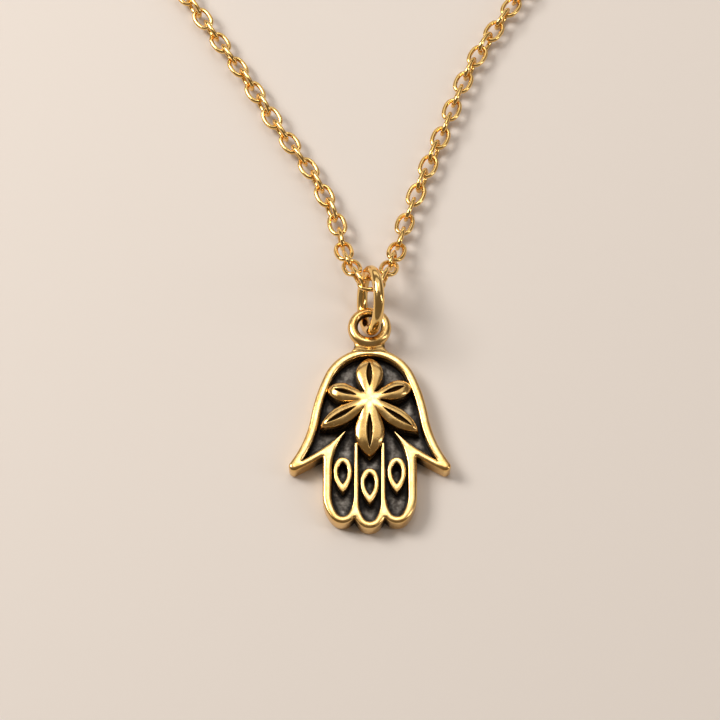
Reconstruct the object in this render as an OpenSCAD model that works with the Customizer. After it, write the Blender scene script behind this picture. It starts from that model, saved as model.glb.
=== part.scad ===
// Hamsa pendant lying on its back, with its jump ring, chain and clasp. Millimetres.
// X is to the right across the hand, Y runs from the fingers up towards the chain, Z is up.
// The back of the hand plate lies on Z = 0, and the origin is the middle of that plate.

/* [Hand plate] */
// Width over the two thumb tips
hand_w = 15.0; // [12:0.1:20]
// Height from the middle fingertip to the top of the dome
hand_h = 18.3; // [16:0.1:24]
// Thickness of the cast plate at its rim
plate_t = 1.8; // [1.4:0.05:3]
// Depth of the dark recess below the rim
recess_d = 1.1; // [0.5:0.05:1.3]
// Width of the polished rim
rim_w = 0.82; // [0.5:0.02:1.2]
// Radius of the dome
dome_r = 4.6; // [4:0.05:5.4]
// Angle down the dome where its side begins
dome_side = 24; // [15:1:35]
// Half width of the palm at its waist
waist_half = 5.5; // [5:0.05:6.5]
// Distance of the waist below the middle of the dome
waist_drop = 2.5; // [1.5:0.1:3.5]
// Radius of a thumb tip
thumb_r = 0.5; // [0.3:0.02:0.8]
// Distance of a thumb tip's middle below the waist
thumb_drop = 5.0; // [4:0.1:6]
// Distance of the notch under the thumb below the waist
notch_drop = 4.0; // [3:0.1:5]

/* [Fingers] */
// Width of an outer finger's slot
side_slot_w = 2.08; // [1.4:0.02:2.6]
// Width of the middle finger's slot
mid_slot_w = 2.06; // [1.4:0.02:2.6]
// Width of the rib between two fingers
rib_w = 0.42; // [0.3:0.02:0.8]
// Radius at the very end of a slot
slot_end_r = 0.6; // [0.3:0.02:0.9]
// Length over which a slot narrows to its end
slot_taper = 2.15; // [1.5:0.05:3]
// Width of the rim round the fingertips
tip_rim_w = 0.7; // [0.5:0.02:1]
// How far the middle finger reaches past the outer ones
mid_reach = 0.5; // [0.2:0.05:1.2]

/* [Thumb branches] */
// Half distance between the two branch tips
branch_tip_half = 2.25; // [1.8:0.05:3]
// Distance of the branch tips below the waist
branch_tip_drop = 1.55; // [1:0.05:2.5]
// Radius of a branch's upper edge
branch_top_r = 30; // [12:0.5:60]
// Length over which a finger slot widens up to the branch tip
branch_run = 3.95; // [3:0.05:5]
// Distance of the branch's corner in the thumb below its tip
pocket_drop = 2.85; // [2:0.05:3.5]
// Distance of the branch's corner outwards from its tip
pocket_reach = 3.85; // [3:0.05:5]
// Distance of the ribs' upper ends below the waist
rib_top_drop = 2.3; // [2:0.05:4]

/* [Flower] */
// Height of the flower's middle above the rim
flower_rise = 0.75; // [0.3:0.05:1.2]
// Distance of the flower's middle above the waist
flower_up = 1.45; // [1:0.05:2.5]
// Radius of the long, gentle fall of the petals towards their tips
petal_fall_r = 30; // [20:1:60]
// Radius of the flower's middle
hub_r = 0.6; // [0.5:0.02:0.8]
// Radius at a petal's inner end
petal_root_r = 0.15; // [0.1:0.01:0.2]
// Depth of the slit in each petal
slit_depth = 0.45; // [0.2:0.05:0.7]
// Length of the top petal
top_petal_l = 4.75; // [3.5:0.05:5]
// Width of the top petal
top_petal_w = 2.52; // [1.6:0.02:2.8]
// Length of an upper side petal
upper_petal_l = 4.35; // [3.2:0.05:4.6]
// Width of an upper side petal
upper_petal_w = 1.7; // [1.2:0.02:2]
// Angle of the upper left petal above level
upper_left_angle = 18.5; // [15:0.5:30]
// Angle of the upper right petal above level
upper_right_angle = 23; // [15:0.5:30]
// Length of a lower side petal
lower_petal_l = 5.55; // [4.5:0.05:5.8]
// Width of a lower side petal
lower_petal_w = 1.7; // [1.2:0.02:2]
// Angle of the lower left petal below level
lower_left_angle = 30.5; // [25:0.5:40]
// Angle of the lower right petal below level
lower_right_angle = 34.5; // [25:0.5:40]
// Length of the bottom petal
bottom_petal_l = 5.65; // [4.5:0.05:6]
// Width of the bottom petal
bottom_petal_w = 2.76; // [1.8:0.02:2.8]

/* [Teardrops] */
// Width of a teardrop
drop_w = 1.7; // [1:0.02:1.9]
// Height of a teardrop's round upper part
drop_up = 1.4; // [0.9:0.05:1.8]
// Height of a teardrop's pointed lower part
drop_down = 2.15; // [1.2:0.05:2.6]
// Width of a teardrop's band at its sides
drop_band = 0.4; // [0.25:0.02:0.6]
// Solid length at a teardrop's point
drop_point = 0.9; // [0.5:0.05:1.2]
// Distance from an outer fingertip's slot end up to its teardrop
side_drop_up = 4.42; // [3:0.05:5]
// Distance from the middle finger's slot end up to its teardrop
mid_drop_up = 3.82; // [3:0.05:5]

/* [Bail] */
// Wire of the bail
bail_wire = 0.84; // [0.7:0.02:1.2]
// Inner width of the bail
bail_hole = 2.26; // [2:0.02:3]
// How far the bail stands over the rim
bail_proud = 0.07; // [0:0.01:0.3]
// Length of the neck between the dome and the bail
neck_gap = 0.3; // [0.1:0.05:0.6]
// Width of the neck
neck_w = 2.7; // [2:0.05:3.4]
// Thickness of the neck
neck_t = 1.25; // [0.8:0.05:1.6]

/* [Jump ring] */
// Inner width of the jump ring
ring_hole = 4.86; // [4.5:0.02:6]
// Wire of the jump ring
ring_wire = 0.84; // [0.6:0.02:1]

/* [Chain] */
// Width of the chain over its links
chain_w = 1.5; // [1.2:0.05:1.7]

/* [Clasp] */
// Outer width of the clasp's ring
clasp_w = 5.6; // [5:0.1:8]
// Thickness of the clasp's ring
clasp_wire = 1.1; // [0.8:0.05:1.4]
// Outer width of the clasp's eye
eye_w = 2.6; // [2.2:0.05:3.2]
// Wire of the clasp's eye
eye_wire = 0.6; // [0.5:0.02:0.8]

/* [Fits] */
// Clearance of the jump ring inside the bail
bail_gap = 0.24; // [0.15:0.01:0.3]
// Clearance of the chain inside the jump ring
pass_gap = 0.12; // [0.08:0.01:0.2]
// Clearance of the jump ring and the chain over the surface
lay_gap = 0.06; // [0.02:0.01:0.15]
// Gap between the chain's ends and the clasp
end_gap = 0.25; // [0.15:0.05:0.5]

/* [Hidden] */
$fn = 48;

// A hair of overlap between solids that are fused.
eps = 0.01;
hub_lap = 0.1;
// How far a cut runs past the rim, and a rib runs down into its slot.
run_on = 1;
hub_rise = 0.03;
floor_z = plate_t - recess_d;
top_y = hand_h / 2;
dome_y = top_y - dome_r;
waist_y = dome_y - waist_drop;

// The side of the palm: one arc that leaves the dome and bulges, one that flares into the thumb.
function unit_at(a) = [cos(a), sin(a)];
function arc_radius(w, r, h) = (pow(h - r, 2) + w * w - r * r) / (2 * (w - r));
dome_out = unit_at(dome_side);
side_start = [0, dome_y] + dome_r * dome_out;
waist = [waist_half, waist_y];
side_chord = waist - side_start;
side_half_turn = dome_side - atan2(side_chord.x, -side_chord.y);
side_r = norm(side_chord) / (2 * sin(side_half_turn));
side_middle = side_start - side_r * dome_out;
waist_slope = dome_side - 2 * side_half_turn;
waist_out = unit_at(waist_slope);
waist_axis = [0, waist_y - waist_half * tan(waist_slope)];
waist_lap = 2 * eps * [-sin(waist_slope), cos(waist_slope)];
thumb = [hand_w / 2 - thumb_r, waist_y - thumb_drop];
thumb_back = waist - thumb;
flare_r = (thumb_back * thumb_back - thumb_r * thumb_r) / (2 * (thumb_r - thumb_back * waist_out));
flare_middle = waist + flare_r * waist_out;
thumb_out = (flare_middle - thumb) / norm(flare_middle - thumb);

// Fingers: three slots, and the outline one rim width round them.
finger_pitch = (side_slot_w + mid_slot_w) / 2 + rib_w;
mid_end_y = tip_rim_w - hand_h / 2;
side_end_y = mid_end_y + mid_reach;
fingers_half = finger_pitch + side_slot_w / 2 + rim_w;
notch = [fingers_half - 0.16, waist_y - notch_drop];
notch_line = notch - thumb;
thumb_foot = thumb + thumb_r * unit_at(atan2(notch_line.y, notch_line.x) + acos(thumb_r / norm(notch_line)));

// Thumb branches: the arc of the upper edge, and the arc that widens the finger slot up to the tip.
branch_tip = [branch_tip_half, waist_y - branch_tip_drop];
pocket = branch_tip + [pocket_reach, -pocket_drop];
pocket_chord = pocket - branch_tip;
pocket_side = [-pocket_chord.y, pocket_chord.x] / norm(pocket_chord);
branch_top_middle = (branch_tip + pocket) / 2
    + pocket_side * sqrt(pow(branch_top_r, 2) - pow(norm(pocket_chord) / 2, 2));
slot_side_x = finger_pitch + side_slot_w / 2;
branch_run_x = slot_side_x - branch_tip_half;
branch_low_r = (pow(branch_run_x, 2) + pow(branch_run, 2)) / (2 * branch_run_x);
branch_low_y = branch_tip.y - branch_run;

// Flower, teardrops, neck and bail.
flower_y = waist_y + flower_up;
flower_z = plate_t + flower_rise;
side_drop_y = side_end_y + side_drop_up;
mid_drop_y = mid_end_y + mid_drop_up;
bail_r = (bail_hole + bail_wire) / 2;
bail_y = top_y + neck_gap + bail_r + bail_wire / 2;
bail_z = plate_t + bail_proud - bail_wire / 2;

// The jump ring stands on the surface, seen edge-on by somebody who looks down at ring_view degrees.
// Its plane holds that line's up direction, and is turned a little about it by ring_turn.
ring_view = 64.5;
ring_turn = 16;
ring_up = [0, sin(ring_view), cos(ring_view)];
ring_side = [cos(ring_turn), sin(ring_turn) * cos(ring_view), -sin(ring_turn) * sin(ring_view)];
ring_across = cross(ring_side, ring_up);
ring_r = (ring_hole + ring_wire) / 2;
ring_z = lay_gap + ring_wire / 2 + ring_r * sqrt(1 - pow(ring_side.z, 2));
ring_reach = ring_hole / 2 - bail_wire / 2 - bail_gap;
bar_drop = bail_z - ring_z;
ring_a = 1 - pow(ring_side.y, 2);
ring_b = ring_side.y * ring_side.z * bar_drop;
ring_c = (1 - pow(ring_side.z, 2)) * pow(bar_drop, 2) - pow(ring_reach, 2);
ring_back = (ring_b - sqrt(pow(ring_b, 2) - ring_a * ring_c)) / ring_a;
ring_middle = [0.1, bail_y + bail_r - ring_back, ring_z];

// The chain runs through the far end of the jump ring.
chain_sides = 8;
chain_pass_turn = -27;
chain_pass_reach = ring_hole / 2 - chain_w / 2 - pass_gap;
chain_pass = ring_middle - 0.1 * ring_side
    + chain_pass_reach * (cos(chain_pass_turn) * ring_up + sin(chain_pass_turn) * ring_across);
chain_z = lay_gap + chain_w / 2;

// The chain's route, chosen by eye, from the jump ring out to the clasp: x, y, and how far it is lifted.
left_route = [[-1.6, 15.4, 2.15], [-1.9, 16.9, 1.05], [-1.95, 19.3, 0.2], [-3.1, 22.8, 0], [-4.4, 26.2, 0],
    [-6, 29.3, 0], [-9.3, 34.4, 0], [-12.6, 40.1, 0], [-16.5, 46.2, 0], [-22.6, 56, 0], [-30, 69.5, 0],
    [-37.2, 83.3, 0], [-43.4, 98.3, 0], [-47.2, 114, 0], [-47.6, 130, 0], [-44.2, 145.5, 0],
    [-37.2, 158.5, 0], [-27.6, 168.4, 0], [-16, 174.6, 0]];
right_route = [[1.3, 15.4, 1.4], [1.8, 17.1, 0.4], [2.2, 19.9, 0.1], [3.6, 23.4, 0], [4.9, 27, 0],
    [7.5, 33.8, 0], [9.9, 40.2, 0], [13, 45.9, 0], [19.4, 56, 0], [27, 69.5, 0], [34.6, 83.3, 0],
    [41.6, 98.3, 0], [46.4, 114, 0], [47.8, 130, 0], [45, 145.5, 0], [38.3, 158.5, 0],
    [28.9, 168.4, 0], [17.5, 174.6, 0]];
clasp_middle = [0.8, 177];
clasp_ring_r = (clasp_w - clasp_wire) / 2;
eye_r = (eye_w - eye_wire) / 2;
clasp_half = clasp_ring_r + 2 * eye_r + eye_wire / 2 + end_gap;

module mirrored() {
    children();
    mirror([1, 0, 0]) children();
}

// A pointed arch on the line Y = 0, as wide as twice w and h high, with its point rounded to r.
module arch(w, r, h) {
    side = arc_radius(w, r, h);
    meet = side * (h - r) / (side - r);
    intersection() {
        translate([w - side, 0]) circle(side, $fn = 180);
        translate([side - w, 0]) circle(side, $fn = 180);
        translate([-w, 0]) square([2 * w, meet]);
    }
    if (r > 0) translate([0, h - r]) circle(r);
}

// Two arches foot to foot: a leaf that runs from Y = 0 to the sum of its two heights.
module leaf(w, low_r, low_h, high_r, high_h) {
    translate([0, low_h]) {
        arch(w, high_r, high_h);
        mirror([0, 1]) arch(w, low_r, low_h);
    }
}

// The dome and its sides, moved inwards by inset.
module palm_top(inset) {
    translate([0, dome_y]) circle(dome_r - inset, $fn = 120);
    mirrored() intersection() {
        translate(side_middle) circle(side_r - inset, $fn = 360);
        polygon([[0, dome_y] - dome_out, side_start + dome_out, waist + waist_out, waist_axis - waist_out]);
    }
}

// The flare of the thumbs below the waist, moved inwards by inset, down to the points in foot.
module palm_flare(inset, foot) {
    mirrored() difference() {
        polygon(concat([waist_axis - waist_out + waist_lap, waist + waist_out + waist_lap], foot));
        translate(flare_middle) circle(flare_r + inset, $fn = 360);
    }
}

// A finger slot, grown by grow, from its end at end_y up to the line at high_y.
module finger(slot_w, end_y, high_y, grow, end_grow) {
    half = slot_w / 2 + grow;
    taper = slot_taper + end_grow;
    foot_y = end_y + slot_taper;
    translate([0, foot_y]) mirror([0, 1]) arch(half, slot_end_r + end_grow, taper);
    translate([-half, foot_y - eps]) square([2 * half, high_y - foot_y + eps]);
}

module fingers(grow, end_grow, side_high_y, mid_high_y) {
    mirrored() translate([finger_pitch, 0]) finger(side_slot_w, side_end_y, side_high_y, grow, end_grow);
    finger(mid_slot_w, mid_end_y, mid_high_y, grow, end_grow);
}

// The recess: the palm down to the thumb branches, and the middle between them.
module palm_recess() {
    palm_top(rim_w);
    intersection() {
        palm_flare(rim_w, [pocket + [1, -1], [-1, pocket.y - 1]]);
        union() {
            translate([-hand_w, branch_tip.y]) square([2 * hand_w, hand_h]);
            mirrored() intersection() {
                translate(branch_top_middle) circle(branch_top_r, $fn = 360);
                translate([-1, pocket.y - 1]) square([hand_w, hand_h]);
            }
        }
    }
    intersection() {
        translate([branch_low_r - slot_side_x, branch_low_y]) circle(branch_low_r, $fn = 240);
        translate([slot_side_x - branch_low_r, branch_low_y]) circle(branch_low_r, $fn = 240);
        translate([-hand_w, branch_low_y - eps]) square([2 * hand_w, hand_h]);
    }
}

module ribs() {
    mirrored() translate([mid_slot_w / 2, branch_low_y - run_on, 0])
        cube([rib_w, waist_y - rib_top_drop - branch_low_y + run_on, plate_t]);
}

module hand_plate() {
    difference() {
        union() {
            linear_extrude(plate_t) palm_top(0);
            linear_extrude(plate_t)
                palm_flare(0, [thumb + 2 * thumb_out, thumb, thumb_foot, notch, [-1, notch.y]]);
            mirrored() translate(thumb) cylinder(h = plate_t, r = thumb_r);
            linear_extrude(plate_t) fingers(rim_w, tip_rim_w, notch.y + rim_w, notch.y + rim_w);
        }
        translate([0, 0, floor_z]) {
            linear_extrude(recess_d + run_on) palm_recess();
            linear_extrude(recess_d + run_on) fingers(0, 0, branch_low_y, branch_low_y);
        }
    }
    ribs();
}

// One petal along +Y: a leaf with upright walls under a barrel top, with a slit cut into its ridge.
// wide_at, slit_from and slit_to are shares of its length from the flower's middle.
module petal(length, w, wide_at, end_r, slit_from, slit_to, slit_w) {
    half = w / 2;
    crown_r = half * 1.12;
    crown_z = flower_z - crown_r;
    root = hub_r - hub_lap;
    low = length * wide_at - root;
    high = length * (1 - wide_at);
    slit = length * (slit_to - slit_from);
    difference() {
        union() {
            translate([0, root, floor_z - eps]) linear_extrude(crown_z - floor_z + 2 * eps)
                leaf(half, petal_root_r, low, end_r, high);
            intersection() {
                translate([0, root, crown_z]) linear_extrude(crown_r + 1)
                    leaf(half, petal_root_r, low, end_r, high);
                translate([0, 0, crown_z]) rotate([-90, 0, 0]) rotate_extrude($fn = 72)
                    intersection() {
                        translate([crown_r - petal_fall_r, 0]) circle(petal_fall_r, $fn = 360);
                        translate([0, root / 2]) square([crown_r, length]);
                    }
            }
        }
        translate([0, length * slit_from, flower_z - slit_depth]) linear_extrude(slit_depth + 1)
            leaf(slit_w / 2, 0, slit * 0.55, 0, slit * 0.45);
    }
}

module petals() {
    petal(top_petal_l, top_petal_w, 0.62, 0, 0.29, 0.84, 0.48);
    rotate(180) petal(bottom_petal_l, bottom_petal_w, 0.61, 0, 0.27, 0.87, 0.5);
    for (turn = [90 - upper_left_angle, upper_right_angle - 90])
        rotate(turn) petal(upper_petal_l, upper_petal_w, 0.62, 0.4, 0.31, 0.83, 0.34);
    for (turn = [90 + lower_left_angle, -lower_right_angle - 90])
        rotate(turn) petal(lower_petal_l, lower_petal_w, 0.58, 0, 0.3, 0.86, 0.36);
}

module flower() {
    translate([0, flower_y, 0]) {
        petals();
        translate([0, 0, floor_z - eps]) cylinder(h = flower_z + hub_rise - floor_z + eps, r = hub_r);
    }
}

module teardrop(at) {
    hole_half = drop_w / 2 - drop_band;
    translate([at.x, at.y, floor_z - eps]) linear_extrude(recess_d + eps) difference() {
        translate([0, -drop_down]) leaf(drop_w / 2, 0, drop_down, drop_w * 0.25, drop_up);
        translate([0, drop_point - drop_down])
            leaf(hole_half, 0, drop_down - drop_point, hole_half * 0.6, drop_up - drop_band * 1.5);
    }
}

module bail() {
    translate([0, bail_y, bail_z]) rotate_extrude($fn = 96) translate([bail_r, 0]) circle(bail_wire / 2);
    difference() {
        translate([-neck_w / 2, top_y - rim_w, bail_z - neck_t / 2 + bail_proud])
            cube([neck_w, bail_y - top_y + rim_w - bail_r / 2, neck_t - bail_proud * 2]);
        translate([0, bail_y, 0]) cylinder(h = plate_t * 2, r = bail_r, $fn = 96);
    }
}

module pendant() {
    color([0.83, 0.64, 0.32]) {
        hand_plate();
        flower();
        mirrored() teardrop([finger_pitch, side_drop_y]);
        teardrop([0, mid_drop_y]);
        bail();
    }
}

module jump_ring() {
    color([0.86, 0.66, 0.3])
        multmatrix([[ring_up.x, ring_across.x, ring_side.x, ring_middle.x],
                    [ring_up.y, ring_across.y, ring_side.y, ring_middle.y],
                    [ring_up.z, ring_across.z, ring_side.z, ring_middle.z], [0, 0, 0, 1]])
            rotate_extrude($fn = 96) translate([ring_r, 0]) circle(ring_wire / 2);
}

// The chain as one plain tube: a smooth curve through the route, with closer rings at its tight bend.
near_half = 9;
near_rings = 16;
far_rings = 34;
function laid(p) = [p.x, p.y, chain_z + p.z];
function backwards(list) = [for (i = [len(list) - 1:-1:0]) list[i]];
route = concat([laid([clasp_middle.x - clasp_half, clasp_middle.y, 0])],
    backwards([for (p = left_route) laid(p)]), [chain_pass], [for (p = right_route) laid(p)],
    [laid([clasp_middle.x + clasp_half, clasp_middle.y, 0])]);
function at(i) = route[max(0, min(len(route) - 1, i))];
function spline(a, b, c, d, t) = 0.5 * (2 * b + (c - a) * t + (2 * a - 5 * b + 4 * c - d) * t * t
    + (3 * b - a - 3 * c + d) * t * t * t);
function on_route(s) = let (i = min(floor(s), len(route) - 2))
    spline(at(i - 1), at(i), at(i + 1), at(i + 2), s - i);
function lengths(i, sum) = i > len(route) - 2 ? [sum]
    : concat([sum], lengths(i + 1, sum + norm(route[i + 1] - route[i])));
stations = lengths(0, 0);
function along(d, i) = i > len(route) - 3 || stations[i + 1] > d
    ? i + (d - stations[i]) / (stations[i + 1] - stations[i]) : along(d, i + 1);

module chain() {
    total = stations[len(stations) - 1];
    pass = stations[len(left_route) + 1];
    marks = concat([for (k = [0:far_rings - 1]) (pass - near_half) * k / far_rings],
        [for (k = [0:near_rings]) pass + near_half * (2 * k / near_rings - 1)],
        [for (k = [1:far_rings]) pass + near_half + (total - pass - near_half) * k / far_rings]);
    middles = [for (d = marks) on_route(along(d, 0))];
    last = len(middles) - 1;
    points = [for (k = [0:last]) let (ahead = middles[min(k + 1, last)] - middles[max(k - 1, 0)],
            way = ahead / norm(ahead), out = cross(way, [0, 0, 1]) / norm(cross(way, [0, 0, 1])),
            up = cross(out, way))
        for (j = [0:chain_sides - 1]) middles[k]
            + chain_w / 2 * (cos(j * 360 / chain_sides) * out + sin(j * 360 / chain_sides) * up)];
    walls = [for (k = [0:last - 1]) for (j = [0:chain_sides - 1]) let (a = k * chain_sides + j,
            b = k * chain_sides + (j + 1) % chain_sides)
        each [[a, b, b + chain_sides], [a, b + chain_sides, a + chain_sides]]];
    ends = [[for (j = [chain_sides - 1:-1:0]) j], [for (j = [0:chain_sides - 1]) last * chain_sides + j]];
    color([0.86, 0.66, 0.3]) polyhedron(points, concat(walls, ends));
}

// A plain closed ring with an eye on each side for the chain's ends.
module clasp() {
    color([0.86, 0.66, 0.3]) translate([clasp_middle.x, clasp_middle.y, chain_z]) {
        rotate_extrude($fn = 96) translate([clasp_ring_r, 0]) circle(clasp_wire / 2);
        for (side = [-1, 1]) translate([side * (clasp_ring_r + eye_r), 0, 0])
            rotate_extrude() translate([eye_r, 0]) circle(eye_wire / 2);
    }
}

pendant();
jump_ring();
chain();
clasp();
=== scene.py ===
"""Hamsa pendant on its jump ring and cable chain, dressed over the CAD frame.

Everything is worked out in millimetres in the part's own frame, and turned into metres as a mesh is made.
X is to the right across the hand, Y runs from the fingers to the chain, and the back lies on Z = 0.
"""

import bpy
import numpy as np
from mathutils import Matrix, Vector
from mathutils.geometry import delaunay_2d_cdt


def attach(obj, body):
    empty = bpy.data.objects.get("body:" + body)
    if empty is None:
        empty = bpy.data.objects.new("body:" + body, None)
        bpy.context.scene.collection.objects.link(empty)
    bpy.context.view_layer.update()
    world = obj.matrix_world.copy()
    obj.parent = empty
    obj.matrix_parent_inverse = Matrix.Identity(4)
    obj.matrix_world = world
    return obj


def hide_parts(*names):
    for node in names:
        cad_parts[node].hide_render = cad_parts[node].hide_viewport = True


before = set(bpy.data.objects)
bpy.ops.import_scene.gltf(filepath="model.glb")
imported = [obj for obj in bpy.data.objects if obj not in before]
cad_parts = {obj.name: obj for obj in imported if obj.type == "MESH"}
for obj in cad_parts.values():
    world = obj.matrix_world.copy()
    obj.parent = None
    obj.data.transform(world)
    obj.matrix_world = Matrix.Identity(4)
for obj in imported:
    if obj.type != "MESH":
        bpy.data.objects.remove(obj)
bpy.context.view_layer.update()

MM = 0.001
TURN = 2 * np.pi
X_AXIS = np.array([1.0, 0, 0])
Y_AXIS = np.array([0, 1.0, 0])
Z_AXIS = np.array([0, 0, 1.0])

# Steps along curves, and what counts as nothing
CURVE_STEP = 0.06
THUMB_STEP = 0.04
FINE_STEP = 0.03
SAME_POINT = 1e-4
LEAST_SQUARE = 1e-8
LEAST_ALONG = 1e-6
LEAST_DIVISOR = 1e-9
CDT_EPSILON = 1e-7
CDT_INSIDE = 1

# Hand plate
HAND_W = 15.0
HAND_H = 18.3
PLATE_T = 1.8
RECESS_D = 1.1
RIM_W = 0.82
DOME_R = 4.6
DOME_SIDE = np.radians(24)
WAIST_HALF = 5.5
WAIST_DROP = 2.5
THUMB_R = 0.5
THUMB_DROP = 5.0
NOTCH_DROP = 4.0
NOTCH_IN = 0.16
RIM_ROUND = 0.36
RECESS_ROUND = 0.25
RIM_CROWN = 0.27
BACK_ROUND = 0.28
FLOOR_FILLET = 0.1
FLOOR_STEP = 0.3
SPOTS_X = 7
SPOTS_Y = 9

# Rounded edges: how many loops, what share of the room they may take, and how many points calm them
BACK_STEPS = 6
FILLET_STEPS = 4
EDGE_STEPS = 7
EDGE_SHARE = 0.84
RECESS_SHARE = 0.7
WIDE_CALM = 3
FINE_CALM = 2
ROOM_MOST = 1.0
CREVICE_MOST = 3.0

# Fingers
SIDE_SLOT_W = 2.08
MID_SLOT_W = 2.06
RIB_W = 0.42
SLOT_END_R = 0.6
SLOT_TAPER = 2.15
TIP_RIM_W = 0.7
MID_REACH = 0.5
TIPS_CROSS_REACH = 1.4
TIPS_CROSS_SHORT = 0.01
TIPS_CROSS_COUNT = 400

# Thumb branches
BRANCH_TIP_HALF = 2.25
BRANCH_TIP_DROP = 1.55
BRANCH_TOP_R = 30.0
BRANCH_RUN = 3.95
POCKET_DROP = 2.85
POCKET_REACH = 3.85
RIB_TOP_DROP = 2.7
RIB_TOP_R = 0.14

# Flower
FLOWER_RISE = 0.75
FLOWER_UP = 1.45
HUB_R = 1.2
HUB_DIP = 1.1
HUB_OVER = 0.005
HUB_START = 0.02
HUB_RINGS = 14
HUB_SIDES = 48
PETAL_ROWS = 60
PETAL_CROWDING = 1.25
PETAL_END = 0.9999
PETAL_LEAST = 0.012
PETAL_NECK = 0.5
PETAL_NECK_FADE = (0.5, 2.4)
CREST_DROP = 0.08
TIP_POWER = 0.4
WALL_SHARE = 0.76
MIDDLE_WALL = 0.2
CROSS_POWER = 0.3
CROSS_POWER_MORE = 0.1
CROSS_STEPS = 13
OUTWARDS_FADE = (0.7, 2.2)
SLIT_DEPTH = 0.42
SLIT_MOST = 0.6
SLIT_LEAST = 0.02
SLIT_POWER = 0.9
SLIT_DEPTH_POWER = 0.5
GROOVE_AT = np.array([1.0, 0.95, 0.75, 0.0, -0.75, -0.95, -1.0])
GROOVE_DEPTH = np.array([0, 0.3, 0.85, 1.0, 0.85, 0.3, 0])
SUNK = 0.06
FOOT_OVER = 0.01

# Teardrops
DROP_W = 1.7
DROP_UP = 1.4
DROP_DOWN = 2.15
DROP_BAND = 0.4
DROP_POINT = 0.9
DROP_ROUND = 0.13
DROP_TOP_SHARE = 0.42
DROP_TOP_BAND = 1.25
DROP_EDGE_SHARE = 0.4
DROP_OVER = 0.02
DROP_COUNT = 44
DROP_EDGE_STEPS = 5
SIDE_DROP_UP = 4.42
MID_DROP_UP = 3.82

# Bail and neck
BAIL_WIRE = 0.84
BAIL_HOLE = 2.26
BAIL_PROUD = 0.07
BAIL_TUBE_R = 0.46
BAIL_SWELL = 0.1
BAIL_OUT = 0.16
BAIL_LIFT = 0.15
BAIL_RINGS = 96
BAIL_SIDES = 28
NECK_GAP = 0.3
NECK_IN_BAIL = 0.05
NECK_IN_HAND = 0.4
NECK_HALF = 1.5
NECK_WAIST = 0.12
NECK_FLARE = 0.3
NECK_TALL = 0.4
NECK_DIP = 0.1
NECK_THICKENS = 0.09
NECK_LIFT = 0.04
NECK_POWER = 0.95
NECK_ROWS = 16
NECK_SIDES = 32

# Jump ring
RING_HOLE = 4.86
RING_WIRE = 0.84
RING_TUBE_R = 0.52
RING_SHIFT = np.array([0, 0.1, 0.07])
RING_VIEW = np.radians(64.5)
RING_TURN = np.radians(16)
RING_X = 0.1
RING_ROUNDS = 128
RING_SIDES = 28
BAIL_GAP = 0.24

# Chain links. PASS is for the link inside the ring, HOOK is how far a step goes along each of two hooked
# links, and LINK_Z is the least height of a link's middle.
CHAIN_W = 1.5
LAY_GAP = 0.06
END_GAP = 0.25
LINK_WIRE_R = 0.22
LINK_HALF_L = 1.155
LINK_HALF_W = 0.73
LINK_Z = 0.975
PITCH = 1.75
PASS_UP = 1.55
PASS_ACROSS = 0.3
PASS_ROLL = np.radians(18)
HOOK = 0.855
OVAL_POWER = 2.3
NEAR_LINKS = 27
SPAN_POINTS = 40
WAY_REACH = 0.5
STILL_LINKS = 2
# Two waves that roll the links a little: size in radians, radians a link, start
SWAYS = ((0.16, 2.39, 0), (0.1, 0.71, 1))

# Clasp
CLASP_W = 5.6
CLASP_WIRE = 1.1
EYE_W = 2.6
EYE_WIRE = 0.6
LINK_IN_EYE = 1.1

FLOOR_Z = PLATE_T - RECESS_D
TOP_Y = HAND_H / 2
DOME_Y = TOP_Y - DOME_R
WAIST_Y = DOME_Y - WAIST_DROP
FLOWER_Y = WAIST_Y + FLOWER_UP
FLOWER_Z = PLATE_T + FLOWER_RISE
FINGER_PITCH = (SIDE_SLOT_W + MID_SLOT_W) / 2 + RIB_W
MID_END_Y = TIP_RIM_W - HAND_H / 2
SIDE_END_Y = MID_END_Y + MID_REACH
SIDE_DROP_Y = SIDE_END_Y + SIDE_DROP_UP
MID_DROP_Y = MID_END_Y + MID_DROP_UP
BAIL_R = (BAIL_HOLE + BAIL_WIRE) / 2
BAIL_Y = TOP_Y + NECK_GAP + BAIL_R + BAIL_WIRE / 2
BAIL_Z = PLATE_T + BAIL_PROUD - BAIL_WIRE / 2

# Patina, the painted dark reflection on the outer wall and the painted shade on the neck: the levels or
# distances between which they fade, and their strongest shares
RECESS_FADE = (PLATE_T - 0.75, PLATE_T - 0.28)
DROP_FADE = (PLATE_T - 0.65, PLATE_T - 0.25)
WALL_START = (0.2, 0.8)
WALL_FADE = (PLATE_T - 0.5, PLATE_T - 0.15)
CREVICE_FADE = (0.15, 0.9)
CREVICE_TOP_FADE = (PLATE_T - 0.35, PLATE_T - 0.05)
FOOT_FADE = (0.05, 0.75)
BAIL_FADE = (0.16, 0.4)
WALL_PAINTED_REFLECTION = 0.5
FOOT_PATINA = 0.8
BAIL_DARK_SHARE = 0.9
SLIT_DARK_FROM = 0.12


# Plane curves, each a list of points one row a point

def unit_at(angle):
    """The point on the unit circle at this angle."""
    return np.array([np.cos(angle), np.sin(angle)])


def angle_of(v):
    """The angle of a plane vector."""
    return np.arctan2(v[1], v[0])


def arc(middle, r, start, end, step=CURVE_STEP):
    """Points on a circle about middle from angle start to angle end, about step apart."""
    count = max(3, int(abs(end - start) * r / step) + 2)
    a = np.linspace(start, end, count)
    return np.asarray(middle) + r * np.stack([np.cos(a), np.sin(a)], axis=1)


def segment(a, b):
    """Points on the straight line from a to b, about CURVE_STEP apart."""
    a, b = np.asarray(a, float), np.asarray(b, float)
    count = max(2, int(np.linalg.norm(b - a) / CURVE_STEP) + 2)
    t = np.linspace(0, 1, count)[:, None]
    return a + (b - a) * t


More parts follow.
